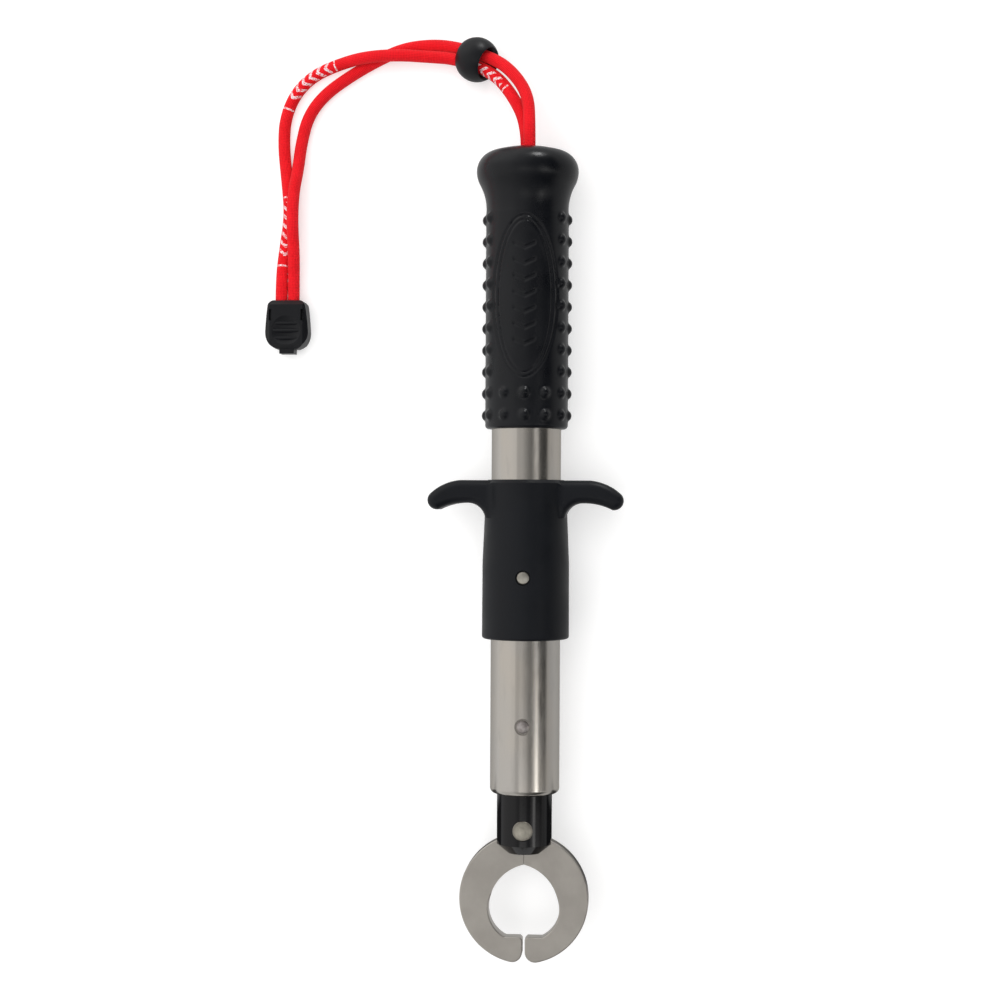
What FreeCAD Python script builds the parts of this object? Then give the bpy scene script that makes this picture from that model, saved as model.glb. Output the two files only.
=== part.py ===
import FreeCAD, Part
import math
import os

# A fish lip grip lying on its side on a table, in millimetres, +Z up.
# The tool's long axis is parallel to Y: the jaws point to -Y and the grip to +Y.
# The trigger's wings point to -X and +X, and every cross pin in the tube is parallel to Z.
# Lengths along the tool are "stations", counted from near the tube's lower end to the grip.
# "Height" is counted up from the tool's axis. A lanyard of two strands lies at the grip's left.

V = FreeCAD.Vector

# Stations along the tool
HOUSING_END_S = -17.7
PIVOT_S = -9.7
TUBE_LOW_S = 1.2
BODY_PIN_S = 23.1
TRIGGER_LOW_S = 50.0
TRIGGER_PIN_S = 69.6
TRIGGER_TOP_S = 100.2
GRIP_LOW_S = 116.25
TUBE_TOP_S = 197.0
GRIP_TOP_S = 205.1
ORIGIN_S = 76.5

# Grip
POMMEL_R = 16.15
AXIS_Z = POMMEL_R
GRIP_R = 13.1
NUB_R = 1.9
NUB_SINK = 0.75
NUB_FIRST_S = 120.5
NUB_PITCH = 6.88
NUB_ROWS = 10
NUB_FULL_ROWS = 2
NUB_COLUMNS = 12

# Tube and what is inside it
TUBE_R = 11.0
TUBE_BORE_R = 10.0
TUBE_LIP_BORE_R = 9.1
TUBE_LIP_ROLL = 1.7
TUBE_LIP_LENGTH = 1.1
HOUSING_R = 8.95
HOUSING_INNER_R = 9.9
HOUSING_TOP_S = 34.0
SLIDE_FIT = 0.08
PIN_FIT = 0.05
ROD_R = 4.5
ROD_LOW_S = 8.7
JAW_SLOT_TOP_S = 12.0
COLLAR_LOW_S = 60.0
COLLAR_TOP_S = 76.0
COLLAR_R = 9.85
SPRING_WIRE_R = 0.75
SPRING_MEAN_R = 7.0
SPRING_TURNS = 9.5
WASHER_THICK = 1.0
STOP_LOW_S = 118.0
STOP_TOP_S = 122.0
PLUG_LOW_S = 186.0

# Jaws and the cam that opens them
STROKE = 10.0
OPEN_DEG = 22.0
JAW_THICK = 5.0
LAYER_GAP = 1.0
RING_S = -32.2
RING_R = 20.45
MOUTH_S = -33.3
MOUTH_FLOOR_S = MOUTH_S - 11.0
TIP_GAP = 0.86
JOINT_GAP = 0.12
TIP_ROUND = 3.2
JAW_EDGE_R = 0.4
BOSS_R = 7.1
BOSS_CLEAR = 0.3
PIVOT_R = 3.175
CAM_START_R = 7.0
CAM_S = PIVOT_S + CAM_START_R
CAM_PIN_R = 1.5
CAM_SLOT_R = 1.56
TAIL_WALL = 1.35
SLOT_HALF_WIDTH = 2.65

# Cross pins
BODY_PIN_R = 2.0
BODY_PIN_SINK_R = 2.6
BODY_PIN_SINK_DEPTH = 0.35
TRIGGER_PIN_R = 2.125
LANYARD_PIN_R = 1.75
STOP_PIN_R = 1.5

# Trigger
TRIGGER_BORE_R = TUBE_R + SLIDE_FIT
TRIGGER_R_LOW = 13.8
TRIGGER_R_TOP = 13.05
WING_SPAN = 61.7
WING_DEPTH = 15.0
WING_TOP_S = TRIGGER_TOP_S - 0.15
WING_EDGE_R = 2.4
WING_BLEND_R = 3.5

# Lanyard
CORD_R = 1.95
BIGHT_PIN_S = 190.5
EXIT_LIFT = 2.05
GRIP_HOLE_R = EXIT_LIFT + CORD_R + 0.15
PLUG_HOLE_REACH = LANYARD_PIN_R + 2 * CORD_R + 0.25
BEAD_R = 7.15
BEAD_BORE_R = 4.5
BEAD_CENTRE = V(-17.2, 159.2, 7.2)
BEAD_AXIS = V(0.825, -0.376, 0.423)
END_X = -78.9
END_TOP_Y = 81.9
END_LOW_Y = 66.1
END_TAB_Y = 64.6
END_HALF_THICK = 4.2

# The two strands, from the hole in the pommel through the bead to the cord end.
PLAIN_STRAND = [
    V(0.6, 128.6, 18.2),
    V(0.6, 136.6, 18.2),
    V(0.0, 145.3, 16.2),
    V(-4.0, 152.4, 13.3),
    V(-10.2, 158.2, 11.05),
    V(-22.6, 163.8, 3.35),
    V(-31.0, 165.4, 2.05),
    V(-41.2, 164.5, 2.05),
    V(-50.3, 160.5, 2.05),
    V(-59.2, 155.5, 2.05),
    V(-67.6, 149.6, 2.05),
    V(-73.0, 142.6, 2.05),
    V(-75.2, 133.8, 2.15),
    V(-76.0, 125.0, 3.7),
    V(-77.1, 116.8, 6.2),
    V(-77.4, 106.8, 6.2),
    V(-76.9, 97.4, 5.6),
    V(-77.15, 89.2, 4.2),
    V(-77.15, 81.9, 4.2),
]
PRINTED_STRAND = [
    V(-0.5, 128.6, 14.1),
    V(-0.5, 136.8, 14.1),
    V(-5.3, 146.8, 11.9),
    V(-11.9, 154.6, 9.7),
    V(-24.2, 160.2, 4.7),
    V(-33.2, 160.7, 5.7),
    V(-43.2, 161.3, 6.5),
    V(-53.8, 160.7, 6.5),
    V(-62.8, 159.4, 2.2),
    V(-71.0, 156.0, 2.05),
    V(-77.0, 150.4, 2.05),
    V(-80.6, 142.2, 2.05),
    V(-81.1, 132.8, 2.05),
    V(-79.9, 121.8, 2.05),
    V(-78.8, 110.4, 2.05),
    V(-80.4, 98.8, 2.4),
    V(-81.15, 89.6, 4.2),
    V(-81.15, 81.9, 4.2),
]


def at(x, station, height=0.0):
    """A point from its place across, along and above the tool's axis."""
    return V(x, station - ORIGIN_S, AXIS_Z + height)


ALONG = V(0, 1, 0)
ACROSS = V(1, 0, 0)
UP = V(0, 0, 1)


def bar(low, top, radius):
    """A round bar on the tool's axis, between two stations."""
    return Part.makeCylinder(radius, top - low, at(0, low), ALONG)


def cross_pin(station, radius, reach):
    """A round pin through the tool, parallel to Z."""
    return Part.makeCylinder(radius, 2 * reach, at(0, station, -reach), UP)


def side_pin(station, radius, reach):
    """A round pin through the tool, parallel to X."""
    return Part.makeCylinder(radius, 2 * reach, at(-reach, station), ACROSS)


def block(x_half, low, top, bottom_height, top_height):
    """A box centred on the tool's axis from side to side."""
    size_z = top_height - bottom_height
    return Part.makeBox(2 * x_half, top - low, size_z, at(-x_half, low, bottom_height))


def outline(steps, point):
    """A closed wire. A step of two numbers is a line, and one of four an arc by a point on it."""
    edges = []
    start = point(*steps[0])
    first = start
    for step in steps[1:]:
        end = point(*step[-2:])
        if len(step) == 4:
            edges.append(Part.Arc(start, point(*step[:2]), end).toShape())
        else:
            edges.append(Part.LineSegment(start, end).toShape())
        start = end
    if start.distanceToPoint(first) > 1e-6:
        edges.append(Part.LineSegment(start, first).toShape())
    return Part.Wire(edges)


def turned(steps):
    """A solid turned about the tool's axis from steps of station and radius."""
    face = Part.Face(outline(steps, lambda station, radius: at(radius, station)))
    return face.revolve(at(0, 0), ALONG, 360)


def plate(steps, bottom_height, top_height):
    """A flat plate from steps of x and station, between two heights."""
    face = Part.Face(outline(steps, lambda x, station: at(x, station, bottom_height)))
    return face.extrude(UP * (top_height - bottom_height))


def long_hole(station, travel, radius, reach):
    """A slot parallel to Z, as long as a pin's travel along the tool."""
    middle = Part.makeBox(2 * radius, travel, 2 * reach, at(-radius, station, -reach))
    ends = [cross_pin(station, radius, reach), cross_pin(station + travel, radius, reach)]
    return middle.fuse(ends)


def edges_along(shape, direction, test):
    """The straight edges of a shape that run one way and whose middle passes a test."""
    found = []
    for edge in shape.Edges:
        ends = edge.Vertexes
        if len(ends) != 2:
            continue
        run = ends[1].Point - ends[0].Point
        if run.Length < 1e-6 or abs(run.normalize().dot(direction)) < 0.999:
            continue
        if test(edge.CenterOfMass):
            found.append(edge)
    return found


# Body


def body_tube():
    roll = TUBE_LIP_ROLL
    flat_r = TUBE_R - roll
    bend = roll * (1 - math.sin(math.radians(45)))
    low = TUBE_LOW_S
    lip_s = low + TUBE_LIP_LENGTH
    tube = turned([
        (low, TUBE_LIP_BORE_R),
        (low, flat_r),
        (low + bend, TUBE_R - bend, low + roll, TUBE_R),
        (TUBE_TOP_S, TUBE_R),
        (TUBE_TOP_S, TUBE_BORE_R),
        (lip_s, TUBE_BORE_R),
        (lip_s, TUBE_LIP_BORE_R),
    ])
    trigger_slot = long_hole(TRIGGER_PIN_S, STROKE, TRIGGER_PIN_R + 0.2, TUBE_R + 1)
    floor_height = TUBE_R - BODY_PIN_SINK_DEPTH
    sinks = cross_pin(BODY_PIN_S, BODY_PIN_SINK_R, TUBE_R + 1)
    sinks = sinks.cut(cross_pin(BODY_PIN_S, BODY_PIN_SINK_R + 1, floor_height))
    holes = [
        cross_pin(BODY_PIN_S, BODY_PIN_R + PIN_FIT, TUBE_R + 1),
        sinks,
        trigger_slot,
        side_pin((STOP_LOW_S + STOP_TOP_S) / 2, STOP_PIN_R, TUBE_R + 1),
        side_pin(BIGHT_PIN_S, LANYARD_PIN_R, TUBE_R + 1),
    ]
    return tube.cut(holes)


def jaw_housing():
    cone_length = 3.0
    cone_end_r = 5.4
    step_s = TUBE_LOW_S + TUBE_LIP_LENGTH + 0.1
    body = turned([
        (HOUSING_END_S, 0),
        (HOUSING_END_S, cone_end_r),
        (HOUSING_END_S + cone_length, HOUSING_R),
        (step_s, HOUSING_R),
        (step_s, HOUSING_INNER_R),
        (HOUSING_TOP_S, HOUSING_INNER_R),
        (HOUSING_TOP_S, 0),
    ])
    slot = block(
        HOUSING_INNER_R + 1, HOUSING_END_S - 1, JAW_SLOT_TOP_S, -SLOT_HALF_WIDTH, SLOT_HALF_WIDTH
    )
    bore = bar(ROD_LOW_S - 0.4, HOUSING_TOP_S + 1, ROD_R + SLIDE_FIT)
    return body.cut([
        slot,
        bore,
        cross_pin(PIVOT_S, PIVOT_R, HOUSING_R + 1),
        cross_pin(BODY_PIN_S, BODY_PIN_R, HOUSING_INNER_R + 1),
    ])


def body_pin():
    pin = cross_pin(BODY_PIN_S, BODY_PIN_R, TUBE_R + 1)
    return pin.common(bar(BODY_PIN_S - 4, BODY_PIN_S + 4, TUBE_R))


def jaw_pivot_pin():
    pin = cross_pin(PIVOT_S, PIVOT_R, HOUSING_R + 0.15)
    return pin.makeChamfer(0.3, [pin.Edges[0], pin.Edges[2]])


def jaw_spacer():
    reach = LAYER_GAP - 0.05
    ring = cross_pin(PIVOT_S, PIVOT_R + 0.75, reach)
    return ring.cut(cross_pin(PIVOT_S, PIVOT_R, reach + 1))


def spring_stop():
    disc = bar(STOP_LOW_S, STOP_TOP_S, TUBE_BORE_R - 0.05)
    hole = bar(STOP_LOW_S - 1, STOP_TOP_S + 1, 3.0)
    pin_hole = side_pin((STOP_LOW_S + STOP_TOP_S) / 2, STOP_PIN_R, TUBE_R)
    return disc.cut([hole, pin_hole])


def stop_pin():
    return side_pin((STOP_LOW_S + STOP_TOP_S) / 2, STOP_PIN_R, TUBE_R - 0.2)


# Grip


def grip_nubs():
    """Rows of domes round the grip. The upper rows leave room for a plain oval each side."""
    nubs = []
    reach = GRIP_R - NUB_SINK
    core = bar(GRIP_LOW_S - 1, TUBE_TOP_S, TUBE_R + 0.4)
    for row in range(NUB_ROWS):
        station = NUB_FIRST_S + row * NUB_PITCH
        for column in range(NUB_COLUMNS):
            angle = column * 360 / NUB_COLUMNS
            from_oval = min(angle % 180, 180 - angle % 180)
            if row >= NUB_FULL_ROWS and from_oval < 31:
                continue
            turn = math.radians(angle)
            place = at(reach * math.sin(turn), station, reach * math.cos(turn))
            nubs.append(Part.makeSphere(NUB_R, place).cut(core))
    return nubs


def grip():
    sleeve = turned([
        (GRIP_LOW_S, TUBE_R),
        (GRIP_LOW_S, GRIP_R - 1.2),
        (GRIP_LOW_S + 0.35, GRIP_R - 0.35, GRIP_LOW_S + 1.2, GRIP_R),
        (184.0, GRIP_R),
        (189.4, 13.45, 193.4, 14.95),
        (195.6, 15.85, 198.0, POMMEL_R),
        (202.0, 14.6, 204.2, 10.4),
        (204.85, 7.9, GRIP_TOP_S, 5.6),
        (GRIP_TOP_S, GRIP_HOLE_R),
        (TUBE_TOP_S, GRIP_HOLE_R),
        (TUBE_TOP_S, TUBE_R),
    ])
    return sleeve.fuse(grip_nubs())


def end_plug():
    plug = bar(PLUG_LOW_S, TUBE_TOP_S, TUBE_BORE_R - 0.05)
    hole = Part.makeBox(
        2 * (CORD_R + 0.15), TUBE_TOP_S - PLUG_LOW_S + 2, 2 * PLUG_HOLE_REACH,
        at(-CORD_R - 0.15, PLUG_LOW_S - 1, -PLUG_HOLE_REACH),
    )
    return plug.cut([hole, side_pin(BIGHT_PIN_S, LANYARD_PIN_R, TUBE_R)])


def lanyard_pin():
    return side_pin(BIGHT_PIN_S, LANYARD_PIN_R, TUBE_R - 0.2)


def lanyard_bight():
    """The cord's hidden loop round its pin. Both legs close in to the hole in the pommel."""
    bend_r = LANYARD_PIN_R + 0.05 + CORD_R
    turn = Part.Arc(
        at(0, BIGHT_PIN_S, bend_r),
        at(0, BIGHT_PIN_S - bend_r, 0),
        at(0, BIGHT_PIN_S, -bend_r),
    ).toShape()
    top_leg = leg_edges(bend_r, EXIT_LIFT)
    low_leg = leg_edges(-bend_r, -EXIT_LIFT)
    wire = Part.Wire(list(reversed(top_leg)) + [turn] + low_leg)
    return swept(wire, at(0, GRIP_TOP_S, EXIT_LIFT), ALONG)


def leg_edges(inner, outer):
    """A leg that steps from one height to another by two equal arcs, then runs out."""
    start_s = BIGHT_PIN_S
    end_s = TUBE_TOP_S - 0.5
    middle = at(0, (start_s + end_s) / 2, (inner + outer) / 2)
    run = (end_s - start_s) / 2
    drop = (inner - outer) / 2
    radius = (run * run + drop * drop) / (2 * drop)
    part_run = run / 2
    sag = radius - math.copysign(math.sqrt(radius * radius - part_run * part_run), radius)
    first = Part.Arc(at(0, start_s, inner), at(0, start_s + part_run, inner - sag), middle)
    second = Part.Arc(middle, at(0, end_s - part_run, outer + sag), at(0, end_s, outer))
    last = Part.LineSegment(at(0, end_s, outer), at(0, GRIP_TOP_S, outer))
    return [first.toShape(), second.toShape(), last.toShape()]


# Trigger and what it pulls


def wing_side(sign):
    """One half of the wings' outline, from the middle of the flat top to the sleeve."""
    half = WING_SPAN / 2
    return [
        (sign * x, station) if middle is None else (sign * middle[0], middle[1], sign * x, station)
        for middle, x, station in (
            (None, 0, WING_TOP_S),
            (None, 20.5, WING_TOP_S),
            ((26.4, 98.35), half - 0.75, 95.7),
            ((half - 0.35, 92.3), half - 3.35, 90.75),
            ((23.2, 92.35), 18.2, 92.85),
            ((14.5, 91.6), 12.6, 88.2),
            (None, 0, 88.2),
        )
    ]


def trigger_sleeve():
    barrel = turned([
        (TRIGGER_LOW_S, TRIGGER_BORE_R + 0.4),
        (TRIGGER_LOW_S, TRIGGER_R_LOW - 0.9),
        (TRIGGER_LOW_S + 0.26, TRIGGER_R_LOW - 0.26, TRIGGER_LOW_S + 0.9, TRIGGER_R_LOW),
        (74.0, TRIGGER_R_LOW - 0.08),
        (82.0, TRIGGER_R_LOW - 0.42, 90.0, TRIGGER_R_TOP),
        (TRIGGER_TOP_S - 1.0, TRIGGER_R_TOP),
        (TRIGGER_TOP_S, TRIGGER_R_TOP - 1.0),
        (TRIGGER_TOP_S, TRIGGER_BORE_R + 0.4),
        (TRIGGER_TOP_S - 0.4, TRIGGER_BORE_R),
        (TRIGGER_LOW_S + 0.4, TRIGGER_BORE_R),
    ])
    deep = WING_DEPTH / 2
    wings = plate(wing_side(1), -deep, deep).fuse(plate(wing_side(-1), -deep, deep))
    wings = wings.removeSplitter()
    rim = [
        edge for edge in wings.Edges
        if abs(abs(edge.CenterOfMass.z - AXIS_Z) - deep) < 1e-3
        and edge.CenterOfMass.y > 88.4 - ORIGIN_S
    ]
    wings = wings.makeFillet(WING_EDGE_R, rim)
    shell = barrel.fuse(wings)
    shell = shell.cut(bar(TRIGGER_LOW_S - 1, TRIGGER_TOP_S + 1, TRIGGER_BORE_R))
    foot_x = math.sqrt(TRIGGER_R_TOP ** 2 - deep ** 2)
    feet = [
        edge for edge in shell.Edges
        if edge.Length > 5
        and abs(abs(edge.CenterOfMass.z - AXIS_Z) - deep) < 0.02
        and abs(abs(edge.CenterOfMass.x) - foot_x) < 0.02
    ]
    shell = shell.makeFillet(WING_BLEND_R, feet)
    recess = 12.9
    cuts = [cross_pin(TRIGGER_PIN_S, TRIGGER_PIN_R, TRIGGER_R_LOW + 1)]
    for low in (recess, -recess - 2):
        cuts.append(
            Part.makeCylinder(TRIGGER_PIN_R + 0.28, 2, at(0, TRIGGER_PIN_S, low), UP)
        )
    return shell.cut(cuts)


def trigger_pin():
    pin = cross_pin(TRIGGER_PIN_S, TRIGGER_PIN_R, 13.3)
    return pin.makeFillet(0.4, [pin.Edges[0], pin.Edges[2]])


def pull_rod():
    """The rod that the trigger pulls. Its flat tongue carries the cam pin between the jaws."""
    tongue = plate(
        [
            (-4.0, ROD_LOW_S + 1),
            (-4.0, CAM_S),
            (0, CAM_S - 4.0 * 0.75, 4.0, CAM_S),
            (4.0, ROD_LOW_S + 1),
        ],
        -(LAYER_GAP - 0.1),
        LAYER_GAP - 0.1,
    )
    tongue = tongue.common(block(5, CAM_S - CAM_PIN_R - 1.4, ROD_LOW_S + 1, -3, 3))
    rod = bar(ROD_LOW_S, COLLAR_TOP_S - 2, ROD_R)
    pin_slot = long_hole(BODY_PIN_S - STROKE, STROKE, BODY_PIN_R + 0.1, ROD_R + 1)
    cam_hole = cross_pin(CAM_S, CAM_PIN_R, 3)
    pin_hole = cross_pin(TRIGGER_PIN_S, TRIGGER_PIN_R, ROD_R + 1)
    return rod.fuse(tongue).cut([pin_slot, cam_hole, pin_hole])


def rod_collar():
    """The guide collar that slides in the tube. It is pinned to the rod and the trigger."""
    collar = bar(COLLAR_LOW_S, COLLAR_TOP_S, COLLAR_R)
    ends = [edge for edge in collar.Edges if len(edge.Vertexes) == 1]
    collar = collar.makeChamfer(0.5, ends)
    bore = bar(COLLAR_LOW_S - 1, COLLAR_TOP_S - 2, ROD_R)
    return collar.cut([bore, cross_pin(TRIGGER_PIN_S, TRIGGER_PIN_R, COLLAR_R + 1)])


def cam_pin():
    return cross_pin(CAM_S, CAM_PIN_R, JAW_THICK / 2)


def spring_washer():
    ring = bar(COLLAR_TOP_S, COLLAR_TOP_S + WASHER_THICK, SPRING_MEAN_R + 1.9)
    return ring.cut(bar(COLLAR_TOP_S - 1, COLLAR_TOP_S + WASHER_THICK + 1, 4.0))


def return_spring():
    low = COLLAR_TOP_S + WASHER_THICK + SPRING_WIRE_R + 0.02
    length = STOP_LOW_S - SPRING_WIRE_R - 0.02 - low
    helix = Part.makeHelix(length / SPRING_TURNS, length, SPRING_MEAN_R)
    section = Part.Wire(
        Part.Circle(V(SPRING_MEAN_R, 0, 0), V(0, 1, 0), SPRING_WIRE_R).toShape()
    )
    coil = Part.Wire(helix).makePipeShell([section], True, True)
    coil.rotate(V(0, 0, 0), ACROSS, -90)
    coil.translate(at(0, low))
    return coil


# Jaws


def spiral_point(travel, offset, side):
    """A point beside the cam slot's middle line, for a jaw on one side of the tool.

    The pin's distance from the pivot grows with the travel, and the line's angle keeps a fixed
    ratio to it, so the jaw's turn is in proportion to the trigger's travel.
    """
    rate = math.radians(OPEN_DEG) / STROKE
    radius = CAM_START_R + travel
    angle = rate * travel
    x = radius * math.sin(angle)
    y = radius * math.cos(angle)
    dx = math.sin(angle) + radius * rate * math.cos(angle)
    dy = math.cos(angle) - radius * rate * math.sin(angle)
    size = math.hypot(dx, dy)
    return side * (x + offset * dy / size), PIVOT_S + y - offset * dx / size


def spiral_strip(half_width, side, low, top):
    """The cam slot's middle line widened to both sides, with round ends, as a plate."""

    def place(travel, offset):
        x, station = spiral_point(travel, offset, side)
        return at(x, station, low)

    def edge_line(offset):
        curve = Part.BSplineCurve()
        curve.interpolate([place(STROKE * i / 5, offset) for i in range(6)])
        return curve.toShape()

    def end_arc(travel, outward):
        x, station = spiral_point(travel, 0, side)
        ahead_x, ahead_s = spiral_point(travel + outward * 0.01, 0, side)
        size = math.hypot(ahead_x - x, ahead_s - station)
        tip = at(
            x + half_width * (ahead_x - x) / size,
            station + half_width * (ahead_s - station) / size,
            low,
        )
        return Part.Arc(place(travel, half_width), tip, place(travel, -half_width)).toShape()

    edges = [edge_line(half_width), end_arc(STROKE, 1), edge_line(-half_width), end_arc(0, -1)]
    wire = Part.Wire(Part.__sortEdges__(edges))
    return Part.Face(wire).extrude(UP * (top - low))


def mouth(low, top):
    """The opening between the jaws: a point at the top, round sides and a flat floor."""
    return plate(
        [
            (0, MOUTH_S + 12.0),
            (6.3, MOUTH_S + 8.75, 10.7, MOUTH_S + 1.3),
            (10.6, MOUTH_S - 5.6, 5.8, MOUTH_FLOOR_S),
            (-5.8, MOUTH_FLOOR_S),
            (-10.6, MOUTH_S - 5.6, -10.7, MOUTH_S + 1.3),
            (-6.3, MOUTH_S + 8.75, 0, MOUTH_S + 12.0),
        ],
        low,
        top,
    )


def half_ring(side, low, top):
    """One side of the ring that the two jaws make when they are shut."""
    ring = Part.makeCylinder(RING_R, top - low, at(0, RING_S, low), UP)
    ring = ring.cut(mouth(low - 1, top + 1))
    far = RING_R + 5
    x_low = JOINT_GAP / 2 if side > 0 else -far
    keep = Part.makeBox(far - JOINT_GAP / 2, 3 * far, top - low + 2, at(x_low, RING_S - far, low - 1))
    gap = block(TIP_GAP / 2, RING_S - far, MOUTH_S, low - 1, top + 1)
    return ring.common(keep).cut(gap)


def face_edges(tip, half):
    """The edges round a jaw's two flat faces, but not those under the housing."""
    found = []
    for edge in tip.Edges:
        middle = edge.CenterOfMass
        on_face = abs(abs(middle.z - AXIS_Z) - half) < 1e-3
        below = middle.y < at(0, MOUTH_S + 2).y
        if on_face and (below or abs(middle.x) > RING_R / 2):
            found.append(edge)
    return found


def jaw(side):
    """One jaw. The left one has its boss and tail in the upper layer, the right one below."""
    half = JAW_THICK / 2
    own = (LAYER_GAP, half) if side < 0 else (-half, -LAYER_GAP)
    tip = half_ring(side, -half, half)
    corner = edges_along(
        tip, UP, lambda c: c.y < at(0, RING_S - RING_R + 1).y and abs(c.x) < TIP_GAP
    )
    tip = tip.makeFillet(TIP_ROUND, corner)
    inner = edges_along(
        tip, UP, lambda c: abs(c.y - at(0, MOUTH_FLOOR_S).y) < 0.5 and abs(c.x) < TIP_GAP
    )
    tip = tip.makeChamfer(0.7, inner)
    tip = tip.makeFillet(JAW_EDGE_R, face_edges(tip, half))
    clear = cross_pin(PIVOT_S, BOSS_R + BOSS_CLEAR, half + 1)
    ring = tip.cut(clear)
    own_layer = Part.makeBox(
        200, 400, own[1] - own[0], at(-100, -200, own[0])
    )
    boss = cross_pin(PIVOT_S, BOSS_R, half).common(own_layer)
    tail = spiral_strip(CAM_SLOT_R + TAIL_WALL, side, own[0], own[1])
    shape = ring.fuse([tip.common(own_layer), boss, tail]).removeSplitter()
    slot = spiral_strip(CAM_SLOT_R, side, -half - 1, half + 1)
    pivot = cross_pin(PIVOT_S, PIVOT_R + PIN_FIT, half + 1)
    return shape.cut([slot, pivot])


# Lanyard


def cord_wire(points):
    """Straight runs joined by arcs, each as large as its two runs allow. Returns the radii too."""
    edges = []
    radii = []
    here = points[0]
    for before, corner, after in zip(points, points[1:], points[2:]):
        back = before - corner
        ahead = after - corner
        trim = 0.45 * min(back.Length, ahead.Length)
        back.normalize()
        ahead.normalize()
        half_turn = (math.pi - back.getAngle(ahead)) / 2
        radius = trim / math.tan(half_turn)
        start = corner + back * trim
        end = corner + ahead * trim
        bisector = back + ahead
        bisector.normalize()
        centre = corner + bisector * (radius / math.cos(half_turn))
        middle = centre - bisector * radius
        edges.append(Part.LineSegment(here, start).toShape())
        edges.append(Part.Arc(start, middle, end).toShape())
        radii.append(radius)
        here = end
    edges.append(Part.LineSegment(here, points[-1]).toShape())
    return Part.Wire(edges), radii


def swept(wire, start, direction):
    """A round cord along a wire."""
    section = Part.Wire(Part.Circle(start, direction, CORD_R).toShape())
    return wire.makePipeShell([section], True, False)


def strand(name, points):
    wire, radii = cord_wire(points)
    tube = swept(wire, points[0], points[1] - points[0])
    expected = math.pi * CORD_R ** 2 * wire.Length
    runs = [a.distanceToPoint(b) for a, b in zip(points, points[1:])]
    print(
        name, "length %.1f" % wire.Length, "volume ratio %.4f" % (tube.Volume / expected),
        "radii", [round(r, 1) for r in radii], "runs", [round(r, 1) for r in runs],
    )
    return tube


def cord_bead():
    """A ball with a wide hole. Its ends flare where the two strands bend away."""
    axis = V(BEAD_AXIS)
    axis.normalize()
    side = axis.cross(UP)
    side.normalize()
    flare_r = BEAD_BORE_R + 0.9
    mouth_at = math.sqrt(BEAD_R ** 2 - flare_r ** 2)
    section = outline(
        [
            (-mouth_at, flare_r),
            (0, BEAD_R, mouth_at, flare_r),
            (mouth_at - 1.1, BEAD_BORE_R),
            (1.1 - mouth_at, BEAD_BORE_R),
        ],
        lambda along, radius: BEAD_CENTRE + axis * along + side * radius,
    )
    return Part.Face(section).revolve(BEAD_CENTRE, axis, 360)


def cord_end_outline(low, top):
    """The cord end's plan, with round shoulders, full sides and a short tab at the bottom."""
    right = [
        (4.4, END_TOP_Y),
        (5.6, 81.2, 6.2, 79.9),
        (6.75, 75.6, 7.05, 71.4),
        (6.35, 68.7, 3.5, END_LOW_Y),
        (2.4, END_LOW_Y),
        (2.4, END_TAB_Y),
    ]
    left = [
        (-2.4, END_TAB_Y),
        (-2.4, END_LOW_Y),
        (-3.5, END_LOW_Y),
        (-6.35, 68.7, -7.05, 71.4),
        (-6.75, 75.6, -6.2, 79.9),
        (-5.6, 81.2, -4.4, END_TOP_Y),
    ]
    face = Part.Face(outline(right + left, lambda x, y: V(END_X + x, y, low)))
    return face.extrude(UP * (top - low))


def cord_end_half(side):
    """One half of the cord end, with bevelled outer edges and a slot near each flank."""
    bevel = 1.5
    inner = END_HALF_THICK
    flat = inner + side * (END_HALF_THICK - bevel)
    outer = inner + side * END_HALF_THICK
    wide = 7.3
    half = cord_end_outline(min(inner, outer), max(inner, outer))
    across = [
        (wide, inner), (wide, flat), (wide - bevel - 0.4, outer),
        (bevel + 0.4 - wide, outer), (-wide, flat), (-wide, inner),
    ]
    along = [
        (END_TOP_Y, inner), (END_TOP_Y, flat), (END_TOP_Y - bevel, outer),
        (END_LOW_Y + bevel, outer), (END_LOW_Y, flat), (END_TAB_Y, flat), (END_TAB_Y, inner),
    ]
    front_view = Part.Face(outline(across, lambda x, z: V(END_X + x, END_TAB_Y, z)))
    side_view = Part.Face(outline(along, lambda y, z: V(END_X - wide, y, z)))
    half = half.common(front_view.extrude(ALONG * (END_TOP_Y - END_TAB_Y)))
    half = half.common(side_view.extrude(ACROSS * (2 * wide)))
    slot_x = 5.25
    slot_deep = 1.6
    slots = []
    for way in (-1, 1):
        middle = V(END_X + way * slot_x - 0.45, 75.2, outer - slot_deep)
        slots.append(Part.makeBox(0.9, 3.7, 2 * slot_deep, middle))
    return half.cut(slots)


def cord_end_front():
    """The upper half, with a round thumb scoop and three ribs across it."""
    half = cord_end_half(1)
    face_z = 2 * END_HALF_THICK
    scoop_r = 11.0
    scoop_depth = 1.1
    scoop_y = 72.0
    rib_r = 0.62
    rib_pitch = 2.4
    rib_sink = 0.15
    rib_half = 4.6
    scoop = Part.makeSphere(scoop_r, V(END_X, scoop_y, face_z + scoop_r - scoop_depth))
    half = half.cut(scoop)
    ribs = []
    for step in (-rib_pitch, 0, rib_pitch):
        start = V(END_X - rib_half, scoop_y + step, face_z - rib_r - rib_sink)
        ribs.append(Part.makeCylinder(rib_r, 2 * rib_half, start, ACROSS))
    return half.fuse(ribs)


def cord_end_back():
    return cord_end_half(-1)


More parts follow.
